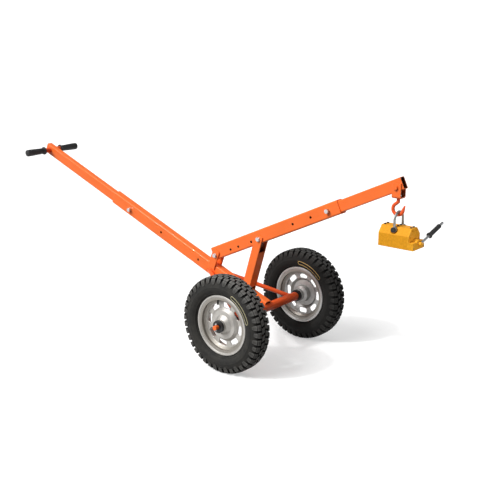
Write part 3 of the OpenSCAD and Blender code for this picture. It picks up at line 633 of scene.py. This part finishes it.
def slot_lip_tree():
    """Rolled edges round the slots of a wheel disc."""
    g, given, out = new_tree(
        "slot_lips",
        [
            ("Slots", "Int", 8),
            ("Ring", "Float", 0.085),
            ("Turn", "Float", 0.0),
            ("Wide", "Float", 0.0272),
            ("Long", "Float", 0.0452),
            ("Corner", "Float", 0.0096),
            ("Lip", "Float", 0.0026),
            ("Centre", "Vector", None),
            ("Steel", "Material", None),
        ],
    )
    sides = {"Width": given["Wide"], "Height": given["Long"]}
    shape = g.add("GeometryNodeCurvePrimitiveQuadrilateral", sides).outputs[0]
    shape = g.add(
        "GeometryNodeFilletCurve", {"Curve": shape, "Radius": given["Corner"], "Count": 8}, mode="POLY"
    ).outputs[0]
    wire = g.add("GeometryNodeCurvePrimitiveCircle", {"Resolution": 10, "Radius": given["Lip"]}).outputs[0]
    lip = g.add("GeometryNodeCurveToMesh", {"Curve": shape, "Profile Curve": wire}).outputs[0]
    lip = g.add("GeometryNodeSetShadeSmooth", {"Geometry": lip}).outputs[0]
    lip = g.add("GeometryNodeTransform", {"Geometry": lip, "Rotation": (math.radians(90), 0, 0)}).outputs[0]
    row = g.add("GeometryNodeMeshLine", {"Count": given["Slots"], "Offset": (0, 0, 0)}).outputs[0]
    index = g.add("GeometryNodeInputIndex").outputs[0]
    turn = g.math("MULTIPLY", g.math("ADD", index, given["Turn"]), 2 * math.pi)
    turn = g.math("DIVIDE", turn, given["Slots"])
    out_at = g.add(
        "ShaderNodeCombineXYZ",
        {
            0: g.math("MULTIPLY", given["Ring"], g.math("COSINE", turn)),
            2: g.math("MULTIPLY", given["Ring"], g.math("SINE", turn)),
        },
    ).outputs[0]
    row = g.add("GeometryNodeSetPosition", {"Geometry": row, "Position": out_at}).outputs[0]
    spin = g.add("ShaderNodeCombineXYZ", {1: g.math("MULTIPLY", turn, -1.0)}).outputs[0]
    copies = {"Points": row, "Instance": lip, "Rotation": spin}
    lips = g.add("GeometryNodeInstanceOnPoints", copies).outputs[0]
    moved = g.add("GeometryNodeTransform", {"Geometry": lips, "Translation": given["Centre"]}).outputs[0]
    return close_tree(g, out, moved, given["Steel"])


def cover_screw_tree():
    """Four screws at the corners of the magnet's end face, each a copy of the mesh it is given."""
    g, given, out = new_tree(
        "cover_screws",
        [
            ("Foot", "Float", 0.062),
            ("Head", "Float", 0.027),
            ("High", "Float", 0.027),
            ("Centre", "Vector", None),
            ("Paint", "Material", None),
        ],
    )
    corners = g.add(
        "GeometryNodeCurvePrimitiveQuadrilateral",
        {"Bottom Width": given["Foot"], "Top Width": given["Head"], "Height": given["High"], "Offset": 0.0},
        mode="TRAPEZOID",
    ).outputs[0]
    upright = (math.radians(90), 0, math.radians(90))
    corners = g.add(
        "GeometryNodeTransform", {"Geometry": corners, "Rotation": upright, "Translation": given["Centre"]}
    ).outputs[0]
    points = g.add("GeometryNodeCurveToPoints", {"Curve": corners}, mode="EVALUATED").outputs["Points"]
    copies = {"Points": points, "Instance": given["Geometry"]}
    screws = g.add("GeometryNodeInstanceOnPoints", copies).outputs[0]
    return close_tree(g, out, screws, given["Paint"])


def bead_tree():
    """Weld beads: overlapping ripples along every line of the mesh."""
    g, given, out = new_tree(
        "weld_beads",
        [("Bead", "Float", 0.003), ("Ripple", "Float", 0.0026), ("Paint", "Material", None)],
    )
    seam = g.add("GeometryNodeMeshToCurve", {"Mesh": given["Geometry"]}).outputs[0]
    spaced = {"Curve": seam, "Length": given["Ripple"]}
    points = g.add("GeometryNodeCurveToPoints", spaced, mode="LENGTH").outputs
    ripple = g.add("GeometryNodeMeshIcoSphere", {"Radius": 1.0, "Subdivisions": 2}).outputs["Mesh"]
    ripple = g.add("GeometryNodeSetShadeSmooth", {"Geometry": ripple}).outputs[0]
    uneven = g.add(
        "FunctionNodeRandomValue", {2: 0.88, 3: 1.10, "Seed": 7}, data_type="FLOAT"
    ).outputs[1]
    wide = g.math("MULTIPLY", given["Bead"], uneven)
    size = g.add(
        "ShaderNodeCombineXYZ", {0: wide, 1: wide, 2: g.math("MULTIPLY", given["Ripple"], 1.05)}
    ).outputs[0]
    beads = g.add(
        "GeometryNodeInstanceOnPoints",
        {"Points": points["Points"], "Instance": ripple, "Rotation": points["Rotation"], "Scale": size},
    ).outputs[0]
    return close_tree(g, out, beads, given["Paint"])


# Tyre and wheel sizes, in millimetres

# Outer section that the tread blocks reach, from the crown down one side: (radius, half width)
SECTION = [
    (214, 0), (214, 20), (213.7, 22.6), (212.8, 28), (210.8, 33.8), (208.2, 37.4), (204.3, 40.0),
    (199, 41.9), (193.8, 43.2), (189.8, 43.9), (180, 46.1), (165.4, 47), (153, 45.6),
]
# Body of the tyre below the tread, from the bead up one side to the crown
CARCASS = [
    (114.4, 26.0), (133.2, 26.0), (135, 28.4), (138, 34), (140, 37.2), (141.2, 39.4), (142.6, 39.8),
    (143.6, 39.6), (148, 42.4), (153.2, 44.9), (158, 46.2), (163, 46.5), (165.6, 46.5), (166.6, 46.9),
    (168.4, 46.9), (169.6, 46.1), (176, 45.1), (182, 43.4), (189, 40.4), (195.5, 36.4), (201, 30.5),
    (204.4, 21.5), (205.3, 10),
]
# Inside of the tyre, from the crown down one side to the bead
LINING = [
    (197, 0), (196, 18), (191, 30), (180, 37), (165, 39), (150, 37), (138, 30), (128, 22), (114.4, 15),
]
# Tread blocks of one half of the tyre, from and to along the section from its middle
CROWN_BLOCK = (1.9, 19.0)
TOP_BLOCK = (22.6, 39.6)
LUG_ROOT = (23.6, 62.0)
LONG_LUG = (41.4, 67.5)
SHORT_LUG = (41.4, 61.5)
CROWN_LEAN = 10.0
CROWN_PHASE = 0.60
LUG_PHASE = 0.10
# How far the tread of a wheel and its slots are turned, as shares of a pitch
TREAD_TURN = {"left": 0.0, "right": 0.3}
SLOT_TURN = {"left": 0.0, "right": -8 / 45}
# How far the rolled slot edges stand outward of the wheel's middle
LIP_OUT = 4.0
TYRE_TURNS = 160
# Outline on a tyre wall: radii, span, and where it starts on the camera-side wall of each wheel
LINE_RADII = (151.0, 166.0)
LINE_SPAN = 50
LINE_START = {"left": 39, "right": 15}
LINE_FINISH = {"left": "sidewall_line", "right": "faded_line"}
LINE_STEPS = 48
CAP_STEPS = 12

# Hand grip: bore, depth and number of its flutes, points round and along it, and its swelling barrel
GRIP_BORE = 12.5
GRIP_FLUTE = 1.0
GRIP_FLUTES = 20
# Flutes reach their depth this steeply at both ends of the barrel
FLUTE_FADE = 8
GRIP_TURNS = 120
GRIP_STEPS = 24
BARREL_RADIUS = 15.3
BARREL_SWELL = 2.1
BARREL_START = 9.0
BARREL_ENDS = 18.0
# Collar at its inner end: (radius, from that end); rings and wall of its outer end: (radius, back from it)
GRIP_COLLAR = [(GRIP_BORE, 0), (18.8, 0), (20, 1.4), (20, 5.6), (18.8, 7), (16.2, 8.4)]
GRIP_TAIL = [
    (17.3, 7), (16.9, 4), (15.8, 1.6), (14, 0.4), (11.4, 0), (10.6, 0.9), (8.8, 0.9), (8, 0), (0, 0),
    (0, 7.5), (GRIP_BORE, 7.5),
]
# Half width of the spine, radii of axle, brace and cross bar, and the half width of the handle tube
SPINE_HALF = 20.0
AXLE_RADIUS = 20.0
BRACE_RADIUS = 10.0
BAR_RADIUS = 12.5
HANDLE_HALF = 15.0
# Where a brace meets the spine, along it and across it, and the axle, from its middle
BRACE_ALONG = -376.0
BRACE_UP = -10.8
BRACE_OUT = 197.0
# Points round a brace's weld, and the arc of the spine's weld on the axle in degrees
WELD_POINTS = 40
WELD_ARC = range(-84, 85, 6)
# Screw of the magnet's end face, and the middle of the four above the magnet's foot
SCREW_OUTLINE = [(0, -1), (4.4, -1), (4.4, 2.4), (3.9, 3.0), (2.3, 3.0), (2.3, 1.4), (0, 1.4)]
SCREW_CENTRE = 59.5
SCREW_TURNS = 24


def tread_rows(groove):
    """The inputs of each row of blocks; the rows of one half stand half a pitch from the other's."""
    rows = []

    def row(half, span, phase, share, **more):
        start, end = span
        inputs = {"Place": half * (start + end) / 2 * MM, "Wide": (end - start) * MM}
        turn = phase + (0.0 if half > 0 else 0.5)
        rows.append({**inputs, "Share": share, "Way": half, "Phase": turn, **more})

    for half in (1.0, -1.0):
        row(half, CROWN_BLOCK, CROWN_PHASE, 0.74, Lean=half * CROWN_LEAN)
        row(half, TOP_BLOCK, LUG_PHASE, 0.74)
        row(half, LUG_ROOT, LUG_PHASE, 0.62, Sink=groove)
        row(half, LONG_LUG, LUG_PHASE, 0.70, Taper=0.5, Every=2)
        row(half, SHORT_LUG, LUG_PHASE + 1.0, 0.64, Taper=0.5, Every=2)
    return rows


def wall_width(radius):
    """Half width of the tyre body at a radius, on its wall."""
    for (r0, w0), (r1, w1) in zip(CARCASS[2:], CARCASS[3:]):
        if r0 <= radius <= r1:
            return w0 + (w1 - w0) * (radius - r0) / (r1 - r0)
    raise ValueError(f"no tyre wall at radius {radius}")


def wall_line(start, face, centre):
    """A closed outline on a tyre wall: two arcs with rounded ends."""
    inner, outer = LINE_RADII
    middle, half = (inner + outer) / 2, (outer - inner) / 2
    cap = math.degrees(half / middle)
    path = []
    straight = LINE_SPAN - 2 * cap
    for i in range(LINE_STEPS + 1):
        path.append((outer, start + cap + straight * i / LINE_STEPS))
    for i in range(1, CAP_STEPS):
        t = math.pi * i / CAP_STEPS
        path.append((middle + half * math.cos(t), start + LINE_SPAN - cap + cap * math.sin(t)))
    for i in range(LINE_STEPS + 1):
        path.append((inner, start + LINE_SPAN - cap - straight * i / LINE_STEPS))
    for i in range(1, CAP_STEPS):
        t = math.pi * i / CAP_STEPS
        path.append((middle - half * math.cos(t), start + cap - cap * math.sin(t)))
    points = []
    for radius, degrees in path:
        a = math.radians(degrees)
        flat = Vector((radius * math.cos(a), face * wall_width(radius), radius * math.sin(a)))
        points.append(centre + flat * MM)
    return points


def tube(bm, points, radius, sides=8):
    """A closed round wire through points, for lines raised on a surface."""
    count = len(points)
    rings = []
    for i, point in enumerate(points):
        ahead = (points[(i + 1) % count] - points[i - 1]).normalized()
        out = Vector((0, 1, 0))
        side = ahead.cross(out).normalized()
        up = side.cross(ahead).normalized()
        ring = []
        for k in range(sides):
            a = 2 * math.pi * k / sides
            ring.append(bm.verts.new(point + side * radius * math.cos(a) + up * radius * math.sin(a)))
        rings.append(ring)
    for first, second in zip(rings, rings[1:] + rings[:1]):
        for k in range(sides):
            n = (k + 1) % sides
            bm.faces.new((first[k], first[n], second[n], second[k]))


# Operators


class LIFTER_OT_finishes(Operator):
    """Give every CAD part its finish"""

    bl_idname = "lifter.finishes"
    bl_label = "Finishes"

    def execute(self, context):
        for row in frame["record"]["subparts"]:
            frame["nodes"][row["node"]].material_slots[0].material = finishes()[row["material_slot"]]
        return {"FINISHED"}


class LIFTER_OT_tyres(Operator):
    """Build the two tyres with their tread blocks and sidewall lines"""

    bl_idname = "lifter.tyres"
    bl_label = "Tyres"

    def execute(self, context):
        sizes = context.scene.lifter_tyres
        tree = tread_tree(tread_rows(sizes.groove))
        half = [(r * MM, w * MM, 0.0) for r, w in SECTION]
        section = [(r, -w, z) for r, w, z in reversed(half[1:])] + half
        for name in SIDES:
            low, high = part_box("tyre_" + name)
            centre = (low + high) / 2
            tread = grown(
                "knobby_tyre_" + name,
                lines("tread_section", [(section, False)]),
                tree,
                Blocks=sizes.blocks,
                Depth=sizes.depth,
                Edge=sizes.edge,
                Turn=TREAD_TURN[name],
                Centre=centre,
                Rubber=finishes()["tyre_rubber"],
            )
            bm = bmesh.new()
            wall = [(r * MM, w * MM) for r, w in CARCASS]
            inner = [(r * MM, w * MM) for r, w in LINING]
            outline = wall + [(r, -w) for r, w in reversed(wall)]
            outline += [(r, -w) for r, w in reversed(inner)] + inner[1:]
            lathe(bm, outline, centre, TYRE_TURNS)
            body = mesh_of(bm, "carcass", 30)
            bm = bmesh.new()
            bm.from_mesh(body)
            bm.from_mesh(tread.data)
            whole = bpy.data.meshes.new("tyre")
            bm.to_mesh(whole)
            bm.free()
            piece(tread.name, whole, "tyre_rubber", "wheel_" + name, ["tyre_" + name])
            bm = bmesh.new()
            for face, start in ((-1, LINE_START[name]), (1, LINE_START[name] + 180)):
                tube(bm, wall_line(start, face, centre), sizes.line)
            line = mesh_of(bm, "line", 60)
            piece("sidewall_line_" + name, line, "tyre_rubber", "wheel_" + name, finish=LINE_FINISH[name])
        return {"FINISHED"}


class LIFTER_OT_slot_lips(Operator):
    """Roll the edges of the wheel discs' slots"""

    bl_idname = "lifter.slot_lips"
    bl_label = "Slot lips"

    def execute(self, context):
        tree = slot_lip_tree()
        for name, side in SIDES.items():
            low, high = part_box("tyre_" + name)
            centre = (low + high) / 2 + Vector((0, side * LIP_OUT * MM, 0))
            obj = grown(
                "slot_lips_" + name,
                lines("lips", [([(0, 0, 0)], False)]),
                tree,
                Lip=context.scene.lifter_tyres.lip,
                Turn=SLOT_TURN[name],
                Centre=centre,
                Steel=finishes()["rim_steel"],
            )
            piece(obj.name, obj.data, "rim_steel", "wheel_" + name)
        return {"FINISHED"}


class LIFTER_OT_grips(Operator):
    """Turn the two hand grips: collar, fluted barrel and a rounded end"""

    bl_idname = "lifter.grips"
    bl_label = "Hand grips"

    def execute(self, context):
        for name, side in SIDES.items():
            low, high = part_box("grip_" + name)
            centre = (low + high) / 2
            start, end = (low.y, high.y) if side > 0 else (high.y, low.y)
            last = abs(end - start) / MM
            outline = list(GRIP_COLLAR)
            for i in range(GRIP_STEPS + 1):
                t = i / GRIP_STEPS
                swell = BARREL_RADIUS + BARREL_SWELL * math.sin(math.pi / 2 * t) ** 2
                cut = GRIP_FLUTE * min(1.0, FLUTE_FADE * t, FLUTE_FADE * (1 - t))
                outline.append((swell, BARREL_START + (last - BARREL_ENDS) * t, cut))
            outline += [(r, last - back) for r, back in GRIP_TAIL]
            bm = bmesh.new()
            axis = Vector((centre.x, start, centre.z))
            scaled = [(r * MM, side * y * MM, *(c * MM for c in cut)) for r, y, *cut in outline]
            lathe(bm, scaled, axis, GRIP_TURNS, GRIP_FLUTES)
            piece("hand_grip_" + name, mesh_of(bm, "grip", 50), "grip_rubber", "handle", ["grip_" + name])
        return {"FINISHED"}


def circle_on(centre, normal, radius, count=48):
    """Points of a circle about a normal."""
    one = normal.orthogonal().normalized()
    two = normal.cross(one).normalized()
    points = []
    for i in range(count):
        a = 2 * math.pi * i / count
        points.append(centre + one * radius * math.cos(a) + two * radius * math.sin(a))
    return points


class LIFTER_OT_welds(Operator):
    """Run weld beads where spine, axle, braces and cross bar join"""

    bl_idname = "lifter.welds"
    bl_label = "Weld beads"

    def execute(self, context):
        sizes = context.scene.lifter_steelwork
        tree = bead_tree()
        spine_seams, axle_seams = [], []
        half_w, axle_r = SPINE_HALF * MM, AXLE_RADIUS * MM
        for side in SIDES.values():
            at_foot = []
            for degrees in WELD_ARC:
                t = math.radians(degrees)
                along, up = -axle_r * math.cos(t), axle_r * math.sin(t) - SPINE_RISE
                at_foot.append(on_spine(along, side * half_w, up))
            spine_seams.append((at_foot, False))
            foot = Vector((0, side * BRACE_OUT * MM, AXLE.z))
            head = on_spine(BRACE_ALONG * MM, 0, BRACE_UP * MM)
            ahead = (head - foot).normalized()
            one = ahead.orthogonal().normalized()
            two = ahead.cross(one)
            at_axle, at_spine = [], []
            for i in range(WELD_POINTS):
                a = 2 * math.pi * i / WELD_POINTS
                p = foot + (one * math.cos(a) + two * math.sin(a)) * BRACE_RADIUS * MM
                x, z, dx, dz = p.x, p.z - AXLE.z, ahead.x, ahead.z
                qa, qb, qc = dx * dx + dz * dz, 2 * (x * dx + z * dz), x * x + z * z - axle_r * axle_r
                at_axle.append(p + ahead * (-qb + math.sqrt(qb * qb - 4 * qa * qc)) / (2 * qa))
                at_spine.append(p + ahead * (side * half_w - p.y) / ahead.y)
            axle_seams.append((at_axle, True))
            spine_seams.append((at_spine, True))
        low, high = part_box("t_bar")
        across = Vector((0, 1, 0))
        bar_seams = []
        for side in SIDES.values():
            centre = (low + high) / 2 + across * side * HANDLE_HALF * MM
            bar_seams.append((circle_on(centre, across, BAR_RADIUS * MM), True))
        for name, seams, slot, body in (
            ("spine", spine_seams, "orange_paint", "frame"),
            ("axle", axle_seams, "red_paint", "frame"),
            ("bar", bar_seams, "red_paint", "handle"),
        ):
            beads = grown(
                "weld_beads_" + name,
                lines("seams", seams),
                tree,
                Bead=sizes.bead,
                Ripple=sizes.ripple,
                Paint=finishes()[slot],
            )
            piece(beads.name, beads.data, slot, body)
        return {"FINISHED"}


class LIFTER_OT_cover_screws(Operator):
    """Set the painted screws in the magnet's end face"""

    bl_idname = "lifter.cover_screws"
    bl_label = "Cover screws"

    def execute(self, context):
        low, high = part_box("magnet_cover_front")
        bm = bmesh.new()
        lathe(bm, [(r * MM, y * MM) for r, y in SCREW_OUTLINE], Vector(), SCREW_TURNS)
        facing = Matrix.Rotation(math.radians(-90), 3, "Z")
        bmesh.ops.rotate(bm, verts=bm.verts[:], cent=(0, 0, 0), matrix=facing)
        obj = grown(
            "cover_screws",
            mesh_of(bm, "screw", 40),
            cover_screw_tree(),
            Centre=(high.x, (low.y + high.y) / 2, low.z + SCREW_CENTRE * MM),
            Paint=finishes()["cast_yellow"],
        )
        piece(obj.name, obj.data, "cast_yellow", "magnet")
        return {"FINISHED"}


class LIFTER_OT_stage(Operator):
    """Lay the floor, set the light and aim the camera"""

    bl_idname = "lifter.stage"
    bl_label = "Stage"

    def execute(self, context):
        stage = context.scene.lifter_stage
        scene = context.scene
        mesh = bpy.data.meshes.new("floor")
        corners = [(x * FLOOR_REACH, y * FLOOR_REACH, 0) for x, y in ((-1, -1), (1, -1), (1, 1), (-1, 1))]
        mesh.from_pydata(corners, [], [(0, 1, 2, 3)])
        floor = bpy.data.objects.new("floor", mesh)
        scene.collection.objects.link(floor)
        f = Finish("pale floor")
        tone = f.mix(f.ramp(f.noise(2.0, 3.0), 0.3, 0.7), shade(stage.floor, 0.99), shade(stage.floor, 1.0))
        white = (1, 1, 1, 1)
        finish = f.set(Base_Color=tone, Roughness=0.85, Emission_Color=white, Emission_Strength=stage.glow)
        mesh.materials.append(finish)
        floor.visible_diffuse = False

        world = scene.world or bpy.data.worlds.new("studio")
        scene.world = world
        world.use_nodes = True
        g = Graph(world.node_tree)
        height = g.parts(g.add("ShaderNodeTexCoord").outputs["Generated"])[2]
        glow = g.add(
            "ShaderNodeMapRange",
            {"Value": height, "From Min": -0.4, "From Max": 0.4, "To Min": stage.dusk, "To Max": stage.sky},
        ).outputs[0]
        backdrop = g.add("ShaderNodeLightPath").outputs["Is Camera Ray"]
        sky = world.node_tree.nodes["Background"].inputs
        g.feed(sky["Color"], white)
        g.feed(sky["Strength"], g.math("MAXIMUM", glow, backdrop))

        def sun(name, strength, towards, angle):
            light = bpy.data.lights.new(name, "SUN")
            light.energy = strength
            light.angle = math.radians(angle)
            obj = bpy.data.objects.new(name, light)
            obj.rotation_euler = Vector(towards).to_track_quat("-Z", "Y").to_euler()
            scene.collection.objects.link(obj)

        sun("key light", stage.sun, towards=(0.45, 1.0, -1.0), angle=40)
        sun("edge light", stage.edge, towards=(0.45, 1.0, -1.0), angle=5)
        sun("top light", stage.top, towards=(0, 0, -1), angle=60)
        sun("back light", stage.back, towards=(0.1, -1.0, -0.15), angle=40)

        lamp = bpy.data.lights.new("magnet lamp", "AREA")
        lamp.energy = stage.lamp
        lamp.size = LAMP_SIZE
        lamp.spread = math.radians(LAMP_SPREAD)
        obj = bpy.data.objects.new("magnet lamp", lamp)
        obj.location = LAMP_PLACE
        obj.rotation_euler = (LAMP_AIM - LAMP_PLACE).to_track_quat("-Z", "Y").to_euler()
        obj.visible_camera = False
        scene.collection.objects.link(obj)

        camera = bpy.data.cameras.new("camera")
        camera.lens = stage.lens
        camera.sensor_width = SENSOR_WIDTH
        camera.clip_end = 2 * FLOOR_REACH
        obj = bpy.data.objects.new("camera", camera)
        a, e = stage.azimuth, stage.elevation
        back = Vector((math.sin(a) * math.cos(e), -math.cos(a) * math.cos(e), math.sin(e)))
        obj.location = CAMERA_AIM + back * stage.distance
        obj.rotation_euler = (-back).to_track_quat("-Z", "Y").to_euler()
        scene.collection.objects.link(obj)
        scene.camera = obj
        scene.view_settings.view_transform = "Standard"
        return {"FINISHED"}


class LIFTER_PT_parts(Panel):
    """Lists the lifter's pieces and their sizes"""

    bl_label = "Manhole cover lifter"
    bl_idname = "LIFTER_PT_parts"
    bl_space_type = "VIEW_3D"
    bl_region_type = "UI"
    bl_category = "Lifter"

    def draw(self, context):
        for operator in OPERATORS:
            self.layout.operator(operator.bl_idname)
        for group in SETTINGS:
            settings = getattr(context.scene, group)
            for key in settings.__annotations__:
                self.layout.prop(settings, key)


SETTINGS = {
    "lifter_colours": LifterColours,
    "lifter_tyres": LifterTyres,
    "lifter_steelwork": LifterSteelwork,
    "lifter_stage": LifterStage,
}
OPERATORS = [
    LIFTER_OT_finishes,
    LIFTER_OT_tyres,
    LIFTER_OT_slot_lips,
    LIFTER_OT_grips,
    LIFTER_OT_welds,
    LIFTER_OT_cover_screws,
    LIFTER_OT_stage,
]


def register():
    for cls in [*SETTINGS.values(), *OPERATORS, LIFTER_PT_parts]:
        bpy.utils.register_class(cls)
    for name, cls in SETTINGS.items():
        setattr(bpy.types.Scene, name, PointerProperty(type=cls))


def unregister():
    for name in SETTINGS:
        delattr(bpy.types.Scene, name)
    for cls in reversed([*SETTINGS.values(), *OPERATORS, LIFTER_PT_parts]):
        bpy.utils.unregister_class(cls)


def main():
    register()
    bpy.ops.lifter.finishes()
    bpy.ops.lifter.tyres()
    bpy.ops.lifter.slot_lips()
    bpy.ops.lifter.grips()
    bpy.ops.lifter.welds()
    bpy.ops.lifter.cover_screws()
    bpy.ops.lifter.stage()


if __name__ == "__main__":
    main()
